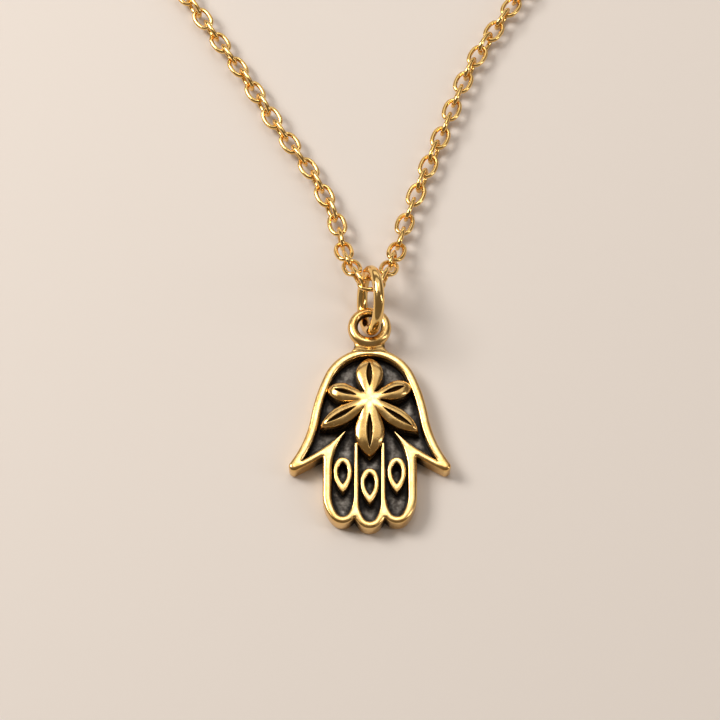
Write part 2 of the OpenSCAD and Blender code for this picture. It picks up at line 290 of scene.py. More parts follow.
def joined(*runs):
    """The runs one after another, without the points where one ends as the next begins."""
    points = np.concatenate(runs)
    keep = np.linalg.norm(np.diff(points, axis=0, append=points[:1]), axis=1) > SAME_POINT
    return points[keep]


def lengths_along(points):
    """Distance of each point from the first, along the line through them."""
    return np.concatenate([[0], np.cumsum(np.linalg.norm(np.diff(points, axis=0), axis=1))])


def at_lengths(points, lengths):
    """Points of the line through points, at these distances along it."""
    s = lengths_along(points)
    return np.stack([np.interp(lengths, s, points[:, k]) for k in range(points.shape[1])], axis=1)


def flipped(points):
    """The mirror image across X = 0, run backwards."""
    return points[::-1] * [-1, 1]


def arch_side(w, r, h):
    """Right side of a pointed arch on Y = 0, from its foot up to its tip.

    It is a big arc, and then the tip's small one where the tip is rounded.
    """
    big = ((h - r) ** 2 + w * w - r * r) / (2 * (w - r))
    meet = np.arctan2(h - r, big - w)
    runs = [arc([w - big, 0], big, 0, meet)]
    if r > 0:
        runs.append(arc([0, h - r], r, meet, np.pi / 2, FINE_STEP))
    return np.concatenate(runs)


def circles_meet(a, ra, b, rb, near):
    """Where two circles cross, at the crossing nearer to the point near."""
    a, b = np.asarray(a, float), np.asarray(b, float)
    d = np.linalg.norm(b - a)
    along = (d * d + ra * ra - rb * rb) / (2 * d)
    off = np.sqrt(ra * ra - along * along)
    way = (b - a) / d
    side = np.array([-way[1], way[0]])
    both = [a + along * way + off * side, a + along * way - off * side]
    return min(both, key=lambda p: np.linalg.norm(p - near))


# The palm's arcs: dome, bulging side, flare into the thumb, thumb tip
dome_out = unit_at(DOME_SIDE)
side_start = np.array([0, DOME_Y]) + DOME_R * dome_out
waist = np.array([WAIST_HALF, WAIST_Y])
side_chord = waist - side_start
side_half_turn = DOME_SIDE - np.arctan2(side_chord[0], -side_chord[1])
side_r = np.linalg.norm(side_chord) / (2 * np.sin(side_half_turn))
side_middle = side_start - side_r * dome_out
waist_slope = DOME_SIDE - 2 * side_half_turn
waist_out = unit_at(waist_slope)
thumb = np.array([HAND_W / 2 - THUMB_R, WAIST_Y - THUMB_DROP])
thumb_back = waist - thumb
flare_r = (thumb_back @ thumb_back - THUMB_R ** 2) / (2 * (THUMB_R - thumb_back @ waist_out))
flare_middle = waist + flare_r * waist_out
thumb_out = (flare_middle - thumb) / np.linalg.norm(flare_middle - thumb)
fingers_half = FINGER_PITCH + SIDE_SLOT_W / 2 + RIM_W
notch = np.array([fingers_half - NOTCH_IN, WAIST_Y - NOTCH_DROP])
notch_line = notch - thumb
foot_angle = angle_of(notch_line) + np.arccos(THUMB_R / np.linalg.norm(notch_line))
thumb_foot = thumb + THUMB_R * unit_at(foot_angle)

branch_tip = np.array([BRANCH_TIP_HALF, WAIST_Y - BRANCH_TIP_DROP])
pocket = branch_tip + [POCKET_REACH, -POCKET_DROP]
pocket_chord = pocket - branch_tip
pocket_side = np.array([-pocket_chord[1], pocket_chord[0]]) / np.linalg.norm(pocket_chord)
branch_top_middle = (branch_tip + pocket) / 2 + pocket_side * np.sqrt(
    BRANCH_TOP_R ** 2 - (np.linalg.norm(pocket_chord) / 2) ** 2)
slot_side_x = FINGER_PITCH + SIDE_SLOT_W / 2
branch_run_x = slot_side_x - BRANCH_TIP_HALF
branch_low_r = (branch_run_x ** 2 + BRANCH_RUN ** 2) / (2 * branch_run_x)
branch_low_y = branch_tip[1] - BRANCH_RUN
branch_low_middle = np.array([slot_side_x - branch_low_r, branch_low_y])


def down(side, at_x, foot_y):
    """An arch side turned to point down, with its foot on the line foot_y and its middle at at_x."""
    return side * [1, -1] + [at_x, foot_y]


def outer_outline():
    """Right half of the hand's outline, from the top of the dome to the middle fingertip.

    The side fingertip's arch is cut where it meets the middle one's.
    """
    foot_y = SIDE_END_Y + SLOT_TAPER
    mid_foot_y = MID_END_Y + SLOT_TAPER
    side_arch = arch_side(SIDE_SLOT_W / 2 + RIM_W, SLOT_END_R + TIP_RIM_W, SLOT_TAPER + TIP_RIM_W)
    mid_arch = arch_side(MID_SLOT_W / 2 + RIM_W, SLOT_END_R + TIP_RIM_W, SLOT_TAPER + TIP_RIM_W)
    outer = down(side_arch, FINGER_PITCH, foot_y)
    inner = down(side_arch * [-1, 1], FINGER_PITCH, foot_y)[::-1]
    middle = down(mid_arch, 0, mid_foot_y)
    last_x = middle[:, 0].max() - TIPS_CROSS_SHORT
    x = np.linspace(FINGER_PITCH - TIPS_CROSS_REACH, last_x, TIPS_CROSS_COUNT)
    low = np.interp(x, inner[::-1, 0], inner[::-1, 1])
    mid_low = np.interp(x, middle[::-1, 0], middle[::-1, 1])
    cross = x[np.argmin(np.abs(low - mid_low))]
    inner = inner[inner[:, 0] > cross]
    middle = middle[middle[:, 0] < cross]
    t = (thumb_foot[0] - fingers_half) / (thumb_foot[0] - notch[0])
    corner = thumb_foot + (notch - thumb_foot) * t
    return joined(
        arc([0, DOME_Y], DOME_R, np.pi / 2, DOME_SIDE),
        arc(side_middle, side_r, DOME_SIDE, waist_slope),
        arc(flare_middle, flare_r, waist_slope + np.pi, angle_of(-thumb_out) % TURN),
        arc(thumb, THUMB_R, angle_of(thumb_out), foot_angle - TURN, THUMB_STEP),
        segment(thumb_foot, corner),
        segment(corner, outer[0]),
        outer, inner, middle)


def recess_outline():
    """Right half of the recess from the top of the dome round the thumb, the branch and the slots."""
    side_arch = arch_side(SIDE_SLOT_W / 2, SLOT_END_R, SLOT_TAPER)
    mid_arch = arch_side(MID_SLOT_W / 2, SLOT_END_R, SLOT_TAPER)
    foot_y = SIDE_END_Y + SLOT_TAPER
    mid_foot_y = MID_END_Y + SLOT_TAPER
    flare_in = flare_r + RIM_W
    corner = circles_meet(flare_middle, flare_in, branch_top_middle, BRANCH_TOP_R, pocket)
    outer = down(side_arch, FINGER_PITCH, foot_y)
    inner = down(side_arch * [-1, 1], FINGER_PITCH, foot_y)[::-1]
    rib_middle = (MID_SLOT_W + RIB_W) / 2
    rib_top = WAIST_Y - RIB_TOP_DROP - RIB_TOP_R
    return joined(
        arc([0, DOME_Y], DOME_R - RIM_W, np.pi / 2, DOME_SIDE),
        arc(side_middle, side_r - RIM_W, DOME_SIDE, waist_slope),
        arc(flare_middle, flare_in, waist_slope + np.pi, angle_of(corner - flare_middle) % TURN),
        arc(branch_top_middle, BRANCH_TOP_R, angle_of(corner - branch_top_middle),
            angle_of(branch_tip - branch_top_middle)),
        arc(branch_low_middle, branch_low_r, angle_of(branch_tip - branch_low_middle), 0),
        segment([slot_side_x, branch_low_y], outer[0]),
        outer, inner,
        segment(inner[-1], [rib_middle + RIB_TOP_R, rib_top]),
        arc([rib_middle, rib_top], RIB_TOP_R, 0, np.pi, FINE_STEP),
        segment([rib_middle - RIB_TOP_R, rib_top], [MID_SLOT_W / 2, mid_foot_y]),
        down(mid_arch, 0, mid_foot_y))


def whole(half):
    """A right half and its mirror image as one closed loop, clockwise."""
    return joined(half, flipped(half))


# Meshes

def add_mesh(name, points, faces, replaced, patina_and_shade=None):
    """Where the patina and painted shade is given, it is kept as an attribute with one share a point.
    """
    mesh = bpy.data.meshes.new(name)
    mesh.from_pydata((np.asarray(points) * MM).tolist(), [], [list(map(int, f)) for f in faces])
    if patina_and_shade is not None:
        field = mesh.attributes.new("patina_and_shade", "FLOAT", "POINT")
        field.data.foreach_set("value", np.asarray(patina_and_shade, np.float32))
    mesh.polygons.foreach_set("use_smooth", np.full(len(mesh.polygons), True))
    mesh.validate()
    mesh.update()
    piece = bpy.data.objects.new(name, mesh)
    bpy.context.scene.collection.objects.link(piece)
    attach(piece, "root")
    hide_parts(*replaced)
    return piece


def add_cast(name, points, faces, patina_and_shade):
    """A piece of the casting, from a grid of points and the patina and painted shade at each."""
    flat = np.asarray(points).reshape(-1, 3)
    return add_mesh(name, flat, faces, ["pendant"], patina_and_shade=np.ravel(patina_and_shade))


def grid_faces(rows, columns, closed_rows):
    """Quads of a grid whose columns go round, and whose rows also go round where closed_rows is true."""
    i = np.arange(rows if closed_rows else rows - 1)
    j = np.arange(columns)
    a, b = np.meshgrid(i, j, indexing="ij")
    a2, b2 = (a + 1) % rows, (b + 1) % columns
    quads = np.stack([a * columns + b, a2 * columns + b, a2 * columns + b2, a * columns + b2], axis=-1)
    return quads.reshape(-1, 4)


def capped_faces(rows, columns):
    """Faces of a grid that is open along its rows, with one face over each end."""
    first = np.arange(columns)
    last = first[::-1] + (rows - 1) * columns
    return grid_faces(rows, columns, False).tolist() + [first.tolist(), last.tolist()]


def carried(path, across, up, profile):
    """A profile carried along a path.

    Each point is the path's point plus the profile's first number of across plus its second of up.
    """
    return (path[:, None, :] + profile[None, :, :1] * across[:, None, :]
            + profile[None, :, 1:] * up[:, None, :])


def circle_profile(r, count):
    """A circle of radius r as count points, running against the clock."""
    a = np.arange(count) * TURN / count
    return r * np.stack([np.cos(a), np.sin(a)], axis=1)


def torus(middle, ring_r, wire_r, x_axis, y_axis, rings, sides):
    """A ring: a circle of wire_r carried round a circle of ring_r in the plane of x_axis and y_axis."""
    a = np.arange(rings)[:, None] * TURN / rings
    out = np.cos(a) * x_axis + np.sin(a) * y_axis
    normal = np.broadcast_to(np.cross(x_axis, y_axis), out.shape)
    points = carried(middle + ring_r * out, out, normal, circle_profile(wire_r, sides))
    return points.reshape(-1, 3), grid_faces(rings, sides, True)


def smoothstep(x, low, high):
    """0 below low, 1 above high, with a smooth rise between them."""
    t = np.clip((x - low) / (high - low), 0, 1)
    return t * t * (3 - 2 * t)


def loop_normals(loop):
    """Unit normals of a closed clockwise loop, towards its inside."""
    way = np.roll(loop, -1, axis=0) - np.roll(loop, 1, axis=0)
    way /= np.linalg.norm(way, axis=1)[:, None]
    return np.stack([way[:, 1], -way[:, 0]], axis=1)


def room(loop, normals, walls, most):
    """Radius of the largest circle that touches the loop at each point and crosses no wall.

    The circle lies on the side of the normal n. A wall point at offset d from the loop's point allows the
    radius |d|^2 / (2 d.n), and the least over all wall points counts.
    """
    d = walls[None, :, :] - loop[:, None, :]
    along = np.einsum("ijk,ik->ij", d, normals)
    square = np.einsum("ijk,ijk->ij", d, d)
    ahead = (along > LEAST_ALONG) & (square > LEAST_SQUARE)
    r = np.where(ahead, square / np.maximum(2 * along, LEAST_DIVISOR), most)
    return np.minimum(r.min(axis=1), most)


def calmed(values, reach):
    """The least value within reach points each way round a loop, and then the mean over the same reach."""
    spread = np.stack([np.roll(values, k) for k in range(-reach, reach + 1)])
    low = spread.min(axis=0)
    return np.stack([np.roll(low, k) for k in range(-reach, reach + 1)]).mean(axis=0)


def held_radius(radius, loop, normals, walls, share, reach):
    """The radius where there is room for it, and a share of the room elsewhere, calmed."""
    return calmed(np.minimum(radius, share * room(loop, normals, walls, ROOM_MOST)), reach)


def hollow_edge(loop, normals, r, low, steps):
    """Loops over a quarter of a circle up to the wall: in by r (1 - sin a), over low by r (1 - cos a)."""
    rows = []
    for turn in np.linspace(0, np.pi / 2, steps):
        flat = loop + normals * (r * (1 - np.sin(turn)))[:, None]
        rows.append(np.column_stack([flat, low + r * (1 - np.cos(turn))]))
    return rows


def rounded_edge(loop, normals, r):
    """Loops over a quarter of an ellipse from the wall up to the top of the rim.

    They go in by r (1 - cos a). They lie under the top by r (1 - sin a) times the share of RIM_CROWN in
    RIM_ROUND.
    """
    rows = []
    for turn in np.linspace(0, np.pi / 2, EDGE_STEPS):
        flat = loop + normals * (r * (1 - np.cos(turn)))[:, None]
        high = PLATE_T - r * RIM_CROWN / RIM_ROUND * (1 - np.sin(turn))
        rows.append(np.column_stack([flat, high]))
    return rows


def filled(loops, spots=None):
    """Triangles of constrained Delaunay inside the first closed loop and outside the others.

    They are numbers of points, counted through the loops and then the spots.
    """
    points = np.concatenate(loops if spots is None else loops + [spots])
    edges, start = [], 0
    for loop in loops:
        ids = start + np.arange(len(loop))
        edges += np.stack([ids, np.roll(ids, -1)], axis=1).tolist()
        start += len(loop)
    vectors = [Vector(p) for p in points.tolist()]
    _, _, faces, source, _, _ = delaunay_2d_cdt(vectors, edges, [], CDT_INSIDE, CDT_EPSILON)
    triangles = np.array([[source[k][0] for k in face] for face in faces])
    middles = points[triangles].mean(axis=1)
    keep = inside(middles, loops[0])
    for loop in loops[1:]:
        keep &= ~inside(middles, loop)
    return triangles[keep]


def inside(points, loop):
    """Which points are inside a closed loop, by counting how often a ray to the right crosses it."""
    x, y = points[:, :1], points[:, 1:]
    x1, y1 = loop[:, 0], loop[:, 1]
    x2, y2 = np.roll(x1, -1), np.roll(y1, -1)
    spans = (y1 > y) != (y2 > y)
    cross = x1 + (y - y1) * (x2 - x1) / np.where(y2 == y1, LEAST_DIVISOR, y2 - y1)
    return ((spans & (x < cross)).sum(axis=1) % 2) == 1


def nearest(points, others):
    """Distance from each plane point to the nearest of the others."""
    d = points[:, None, :] - others[None, :, :]
    return np.sqrt(np.einsum("ijk,ijk->ij", d, d).min(axis=1))


def feet(pieces):
    """Plane points, in millimetres, where the pieces stand in the recess floor."""
    found = []
    for piece in pieces:
        flat = np.zeros(len(piece.data.vertices) * 3)
        piece.data.vertices.foreach_get("co", flat)
        spots = flat.reshape(-1, 3) / MM
        found.append(spots[spots[:, 2] < FLOOR_Z + FOOT_OVER, :2])
    return np.concatenate(found)


def floor_spots(loop):
    """Points of a triangular grid inside the loop, at least half a step from it."""
    x, y = np.meshgrid(np.arange(-SPOTS_X, SPOTS_X, FLOOR_STEP), np.arange(-SPOTS_Y, SPOTS_Y, FLOOR_STEP))
    odd_row = np.arange(x.size) // x.shape[1] % 2
    spots = np.stack([x.ravel() + 0.5 * FLOOR_STEP * odd_row, y.ravel()], axis=1)
    spots = spots[inside(spots, loop)]
    return spots[nearest(spots, loop) > 0.5 * FLOOR_STEP]


def make_hand(standing):
    """The cast hand: outer wall, rounded rim, recess wall and floor, as one closed skin.

    The patina of the floor fades with the distance from the walls and from the points in standing.
    """
    outer = whole(outer_outline())
    recess = whole(recess_outline())
    outer_in = loop_normals(outer)
    recess_in = loop_normals(recess)
    walls = np.concatenate([outer, recess])
    back_r = held_radius(BACK_ROUND, outer, outer_in, outer, EDGE_SHARE, WIDE_CALM)
    rim_r = held_radius(RIM_ROUND, outer, outer_in, walls, EDGE_SHARE, WIDE_CALM)
    fillet_r = held_radius(FLOOR_FILLET, recess, recess_in, recess, EDGE_SHARE, FINE_CALM)
    recess_r = held_radius(RECESS_ROUND, recess, -recess_in, walls, RECESS_SHARE, FINE_CALM)
    outer_rows = hollow_edge(outer, outer_in, back_r, 0, BACK_STEPS)
    outer_rows += rounded_edge(outer, outer_in, rim_r)
    recess_rows = hollow_edge(recess, recess_in, fillet_r, FLOOR_Z, FILLET_STEPS)
    recess_rows += rounded_edge(recess, -recess_in, recess_r)

    n, m = len(outer), len(recess)
    outer_end = len(outer_rows) * n
    recess_end = outer_end + len(recess_rows) * m
    faces = grid_faces(len(outer_rows), n, False).tolist()
    faces += (grid_faces(len(recess_rows), m, False)[:, ::-1] + outer_end).tolist()
    rim_ids = np.concatenate([outer_end - n + np.arange(n), recess_end - m + np.arange(m)])
    faces += rim_ids[filled([outer_rows[-1][:, :2], recess_rows[-1][:, :2]])].tolist()
    floor_loop = recess_rows[0][:, :2]
    spots = floor_spots(floor_loop)
    floor_ids = np.concatenate([outer_end + np.arange(m), recess_end + np.arange(len(spots))])
    faces += floor_ids[filled([floor_loop], spots)].tolist()
    faces += filled([outer_rows[0][:, :2]])[:, ::-1].tolist()
    floor_points = np.column_stack([spots, np.full(len(spots), FLOOR_Z)])
    points = np.concatenate(outer_rows + recess_rows + [floor_points])

    # The band up the outer wall is a painted dark reflection. The darkening in the tight crevices between
    # the fingers is patina.
    wall = points[:outer_end, 2]
    band = smoothstep(wall, *WALL_START) * (1 - smoothstep(wall, *WALL_FADE))
    tight = 1 - smoothstep(room(outer, -outer_in, outer, CREVICE_MOST), *CREVICE_FADE)
    tight = np.tile(-calmed(-tight, FINE_CALM), len(outer_rows))
    crevice = tight * (1 - smoothstep(wall, *CREVICE_TOP_FADE))
    wall_dark = np.maximum(WALL_PAINTED_REFLECTION * band, crevice)
    recess_dark = 1 - smoothstep(points[outer_end:recess_end, 2], *RECESS_FADE)
    spots_far = np.minimum(nearest(spots, floor_loop), nearest(spots, standing))
    spots_dark = 1 - smoothstep(spots_far, *FOOT_FADE)
    return add_cast("hand", points, faces, np.concatenate([wall_dark, recess_dark, spots_dark]))


# Petals of the flower: name, angle from the right, length, widest half width, where it is widest,
# how blunt it is, how the crest falls at the tip, and its slit from, to and width.
# Shares are of the petal's length.
PETALS = [
    ("top", 90, 4.74, 1.3, 1.29, 0.95, 7, 0.28, 0.83, 0.5),
    ("bottom", 270, 5.65, 1.4, 1.2, 0.85, 7, 0.26, 0.86, 0.5),
    ("upper_left", 180 - 18.5, 4.28, 0.95, 1.5, 0.75, 8, 0.3, 0.83, 0.42),
    ("upper_right", 23, 4.38, 0.95, 1.5, 0.75, 8, 0.3, 0.83, 0.42),
    ("lower_left", 180 + 30.5, 5.42, 0.92, 1.15, 0.85, 14, 0.28, 0.87, 0.44),
    ("lower_right", -34.5, 5.58, 0.92, 1.15, 0.85, 14, 0.28, 0.87, 0.44),
]


def make_petal(name, angle, length, half, lean, sharp, fall, slit_from, slit_to, slit_w):
    """A petal from the flower's middle.

    At the share s of its length it is half * sin(pi s^lean)^sharp wide to each side. Its wall is upright
    up to WALL_SHARE of the crest's height, and higher by the flower's middle. Over the wall the height falls
    across the petal as (1 - t^2) to a power that grows outwards from CROSS_POWER. The crest drops as
    (1 - s^fall)^TIP_POWER at the tip. The slit is a groove whose half width and depth follow powers of the
    sine of its own length.
    """
    s = PETAL_END * (1 - (1 - np.linspace(0, 1, PETAL_ROWS)) ** PETAL_CROWDING)
    wide = np.maximum(half * np.sin(np.pi * s ** lean) ** sharp, PETAL_LEAST)
    wide = np.maximum(wide, PETAL_NECK * (1 - smoothstep(length * s, *PETAL_NECK_FADE)))
    rise = FLOWER_Z - FLOOR_Z
    crest = rise * (1 - CREST_DROP * s ** 2) * (1 - s ** fall) ** TIP_POWER
    u = np.clip((s - slit_from) / (slit_to - slit_from), 0, 1)
    slit = np.minimum(slit_w / 2 * np.sin(np.pi * u) ** SLIT_POWER, SLIT_MOST * wide)
    depth = SLIT_DEPTH * np.sin(np.pi * u) ** SLIT_DEPTH_POWER
    edge = np.maximum(slit / wide, SLIT_LEAST)[:, None]
    outer = np.sin(np.linspace(0, np.pi / 2, CROSS_STEPS))[1:][::-1]
    outer_t = edge + (1 - edge) * outer[None, :]
    t = np.concatenate([outer_t, edge * GROOVE_AT, -outer_t[:, ::-1]], axis=1)
    outwards = smoothstep(length * s, *OUTWARDS_FADE)[:, None]
    wall = WALL_SHARE + MIDDLE_WALL * (1 - outwards)
    power = CROSS_POWER + CROSS_POWER_MORE * outwards
    height = crest[:, None] * (wall + (1 - wall) * (1 - t ** 2) ** power)
    groove = slice(outer_t.shape[1], outer_t.shape[1] + len(GROOVE_AT))
    sunk = np.zeros_like(t)
    sunk[:, groove] = GROOVE_DEPTH
    height = height - sunk * depth[:, None] * np.minimum(1, crest / rise)[:, None]
    across = wide[:, None] * np.pad(t, ((0, 0), (1, 1)), mode="edge")
    height = np.pad(height, ((0, 0), (1, 1)), constant_values=-SUNK)
    along = np.broadcast_to((length * s)[:, None], across.shape)
    turn = np.radians(angle)
    way, side = unit_at(turn), unit_at(turn + np.pi / 2)
    points = np.stack([along * way[0] + across * side[0],
                       FLOWER_Y + along * way[1] + across * side[1],
                       FLOOR_Z + height], axis=-1)
    dark = FOOT_PATINA * (1 - smoothstep(height, *FOOT_FADE))
    in_slit = np.zeros_like(height)
    in_slit[:, groove.start + 1:groove.stop - 1] = 1
    dark = np.maximum(dark, in_slit * (depth > SLIT_DARK_FROM)[:, None])
    return add_cast("petal_" + name, points, capped_faces(*height.shape), dark)


petals = [make_petal(*row) for row in PETALS]


def make_hub():
    """The flower's middle: a cap whose height falls outwards as HUB_DIP times (r / HUB_R)^3."""
    r = HUB_R * np.linspace(HUB_START, 1, HUB_RINGS)[:, None]
    a = np.arange(HUB_SIDES) * TURN / HUB_SIDES
    z = FLOWER_Z + HUB_OVER - HUB_DIP * (r / HUB_R) ** 3
    z = np.broadcast_to(z, (HUB_RINGS, HUB_SIDES))
    points = np.stack([r * np.cos(a), FLOWER_Y + r * np.sin(a), z], axis=-1)
    base = points[-1:].copy()
    base[..., 2] = FLOOR_Z
    points = np.concatenate([points, base])
    patina_and_shade = np.zeros((HUB_RINGS + 1, HUB_SIDES))
    patina_and_shade[-1] = FOOT_PATINA
    return add_cast("flower_middle", points, capped_faces(HUB_RINGS + 1, HUB_SIDES), patina_and_shade)


flower_middle = make_hub()


def leaf_loop(w, low_r, low_h, high_r, high_h, count):
    """Closed leaf from its low tip up the right side and down the left, in even steps on each side."""
    low = arch_side(w, low_r, low_h)[::-1] * [1, -1]
    high = arch_side(w, high_r, high_h)
    right = np.concatenate([low, high[1:]])
    right = at_lengths(right, np.linspace(0, lengths_along(right)[-1], count + 1))
    return np.concatenate([right[:-1], (right * [-1, 1])[::-1][:-1]])


def make_teardrop(name, x, y):
    """A raised band between two leaves.

    Its profile goes up the outside, over a rounded edge, level, over a second one and down the inside.
    """
    hole = DROP_W / 2 - DROP_BAND
    hole_up = DROP_UP - DROP_BAND * DROP_TOP_BAND
    outer = leaf_loop(DROP_W / 2, 0, DROP_DOWN, DROP_W * DROP_TOP_SHARE, DROP_UP, DROP_COUNT)
    inner = leaf_loop(hole, 0, DROP_DOWN - DROP_POINT, 0, hole_up, DROP_COUNT)
    gap = np.linalg.norm(outer - inner, axis=1)[:, None]
    way = (inner - outer) / gap
    r = np.minimum(DROP_ROUND, gap * DROP_EDGE_SHARE)
    turns = np.linspace(0, np.pi / 2, DROP_EDGE_STEPS)
    heights = PLATE_T + DROP_OVER - DROP_ROUND * (1 - np.sin(turns))
    inwards = [r * (1 - np.cos(turn)) for turn in turns]
    up = [outer] + [outer + way * step for step in inwards]
    down_inside = [inner - way * step for step in inwards[::-1]] + [inner]
    foot = [FLOOR_Z - SUNK]
    flat = np.stack(up + down_inside, axis=1) + [x, y]
    z = np.broadcast_to(np.concatenate([foot, heights, heights[::-1], foot]), flat.shape[:2])
    points = np.concatenate([flat, z[..., None]], axis=-1)
    return add_cast(name, points, grid_faces(*flat.shape[:2], True), 1 - smoothstep(z, *DROP_FADE))


teardrops = [make_teardrop("teardrop_left", -FINGER_PITCH, SIDE_DROP_Y),
             make_teardrop("teardrop_middle", 0, MID_DROP_Y),
             make_teardrop("teardrop_right", FINGER_PITCH, SIDE_DROP_Y)]

hand = make_hand(feet(petals + teardrops))


def make_bail():
    """The bail: a tube round a circle, whose radii both grow to the neck as ((1 - sin a) / 2)^2."""
    a = np.arange(BAIL_RINGS)[:, None, None] * TURN / BAIL_RINGS
    b = np.arange(BAIL_SIDES)[None, :, None] * TURN / BAIL_SIDES
    grown = ((1 - np.sin(a)) / 2) ** 2
    tube = BAIL_TUBE_R + BAIL_SWELL * grown
    out = np.cos(a) * X_AXIS + np.sin(a) * Y_AXIS
    middle = np.array([0, BAIL_Y, BAIL_Z + BAIL_LIFT])
    from_middle = BAIL_R + BAIL_OUT * grown + tube * np.cos(b)
    points = middle + from_middle * out + tube * np.sin(b) * Z_AXIS
    # The tube is darker on its inner face round the hole.
    within = BAIL_R - np.hypot(points[..., 0], points[..., 1] - BAIL_Y)
    return add_cast("bail", points, grid_faces(BAIL_RINGS, BAIL_SIDES, True),
                    BAIL_DARK_SHARE * smoothstep(within, *BAIL_FADE))


bail = make_bail()


def make_neck():
    """The neck: an oval section, narrowed to a waist below the bail and wide again at the rim.

    Its two sides carry painted shade by the waist.
    """
    share = np.linspace(0, 1, NECK_ROWS)[:, None]
    bulge = np.sin(np.pi * share) ** 2
    y = np.linspace(BAIL_Y - BAIL_R + NECK_IN_BAIL, TOP_Y - NECK_IN_HAND, NECK_ROWS)[:, None]
    half = NECK_HALF - NECK_WAIST * bulge + NECK_FLARE * share ** 2
    tall = NECK_TALL - NECK_DIP * bulge + NECK_THICKENS * share
    a = np.arange(NECK_SIDES) * TURN / NECK_SIDES
    across, up = [np.sign(v) * np.abs(v) ** NECK_POWER for v in (np.cos(a), np.sin(a))]
    points = np.stack([half * across, np.broadcast_to(y, (NECK_ROWS, NECK_SIDES)),
                       BAIL_Z + NECK_LIFT + tall * up], axis=-1)
    # The neck's two sides by the waist are darkened as painted shade.
    return add_cast("neck", points, capped_faces(NECK_ROWS, NECK_SIDES),
                    BAIL_DARK_SHARE * bulge * np.abs(across) ** 4)


neck = make_neck()

# Jump ring, standing on the surface through the bail, seen nearly edge-on
ring_up = np.array([0, np.sin(RING_VIEW), np.cos(RING_VIEW)])
ring_side = np.array([np.cos(RING_TURN), np.sin(RING_TURN) * np.cos(RING_VIEW),
                      -np.sin(RING_TURN) * np.sin(RING_VIEW)])
ring_across = np.cross(ring_side, ring_up)
ring_r = (RING_HOLE + RING_WIRE) / 2
ring_z = LAY_GAP + RING_WIRE / 2 + ring_r * np.sqrt(1 - ring_side[2] ** 2)
ring_reach = RING_HOLE / 2 - BAIL_WIRE / 2 - BAIL_GAP
bar_drop = BAIL_Z - ring_z
ring_a = 1 - ring_side[1] ** 2
ring_b = ring_side[1] * ring_side[2] * bar_drop
ring_c = (1 - ring_side[2] ** 2) * bar_drop ** 2 - ring_reach ** 2
ring_back = (ring_b - np.sqrt(ring_b ** 2 - ring_a * ring_c)) / ring_a
ring_middle = np.array([RING_X, BAIL_Y + BAIL_R - ring_back, ring_z])
ring_points, ring_faces = torus(ring_middle + RING_SHIFT, ring_r, RING_TUBE_R, ring_up, ring_across,
                                RING_ROUNDS, RING_SIDES)
jump_ring = add_mesh("jump_ring_round", ring_points, ring_faces, ["jump_ring"])

# Chain: links hooked one to the next by the ring, and further up along the route of the source's tube
CHAIN_Z = LAY_GAP + CHAIN_W / 2
LEFT_ROUTE = [[-1.6, 15.4, 2.15], [-1.9, 16.9, 1.05], [-1.95, 19.3, 0.2], [-3.1, 22.8, 0], [-4.4, 26.2, 0],
              [-6, 29.3, 0], [-9.3, 34.4, 0], [-12.6, 40.1, 0], [-16.5, 46.2, 0], [-22.6, 56, 0],
              [-30, 69.5, 0], [-37.2, 83.3, 0], [-43.4, 98.3, 0], [-47.2, 114, 0], [-47.6, 130, 0],
              [-44.2, 145.5, 0], [-37.2, 158.5, 0], [-27.6, 168.4, 0], [-16, 174.6, 0]]
RIGHT_ROUTE = [[1.3, 15.4, 1.4], [1.8, 17.1, 0.4], [2.2, 19.9, 0.1], [3.6, 23.4, 0], [4.9, 27, 0],
               [7.5, 33.8, 0], [9.9, 40.2, 0], [13, 45.9, 0], [19.4, 56, 0], [27, 69.5, 0],
               [34.6, 83.3, 0], [41.6, 98.3, 0], [46.4, 114, 0], [47.8, 130, 0], [45, 145.5, 0],
               [38.3, 158.5, 0], [28.9, 168.4, 0], [17.5, 174.6, 0]]
CLASP_MIDDLE = np.array([0.8, 177.0])
clasp_ring_r = (CLASP_W - CLASP_WIRE) / 2
eye_r = (EYE_W - EYE_WIRE) / 2
clasp_half = clasp_ring_r + 2 * eye_r + EYE_WIRE / 2 + END_GAP
clasp_reach = clasp_half - LINK_IN_EYE


def spline_through(points, per_span):
    """Catmull-Rom curve: each span's cubic takes its slopes from the points on both sides."""
    p = np.concatenate([points[:1], points, points[-1:]])
    t = np.arange(per_span)[:, None] / per_span
    spans = []
    for a, b, c, d in zip(p[:-3], p[1:-2], p[2:-1], p[3:]):
        spans.append(0.5 * (2 * b + (c - a) * t + (2 * a - 5 * b + 4 * c - d) * t ** 2
                            + (3 * b - a - 3 * c + d) * t ** 3))
    return np.concatenate(spans + [points[-1:]])


def hooked(ways):
    """Ways and middles of links hooked one to the next from the link inside the ring.

    Each step is HOOK along the last link's way and HOOK along the next one's.
    """
    ways = np.array(ways)
    ways /= np.linalg.norm(ways, axis=1)[:, None]
    return ways[1:], pass_middle + np.cumsum(HOOK * (ways[:-1] + ways[1:]), axis=0)


# Ways of the links by the ring, from the one inside it outwards
LEFT_WAYS = [[-1, 0, 0], [-0.45, 0.86, -0.24], [-0.28, 0.83, -0.48], [-0.2, 0.75, -0.63],
             [-0.25, 0.9, -0.36]]
RIGHT_WAYS = [[1, 0, 0], [0.38, 0.87, -0.3], [0.22, 0.82, -0.52], [0.2, 0.76, -0.62],
              [0.28, 0.9, -0.33]]
HOOKED_LINKS = len(LEFT_WAYS) - 1
pass_middle = ring_middle + RING_SHIFT + PASS_UP * ring_up + PASS_ACROSS * ring_across
left_ways, left_middles = hooked(LEFT_WAYS)
right_ways, right_middles = hooked(RIGHT_WAYS)


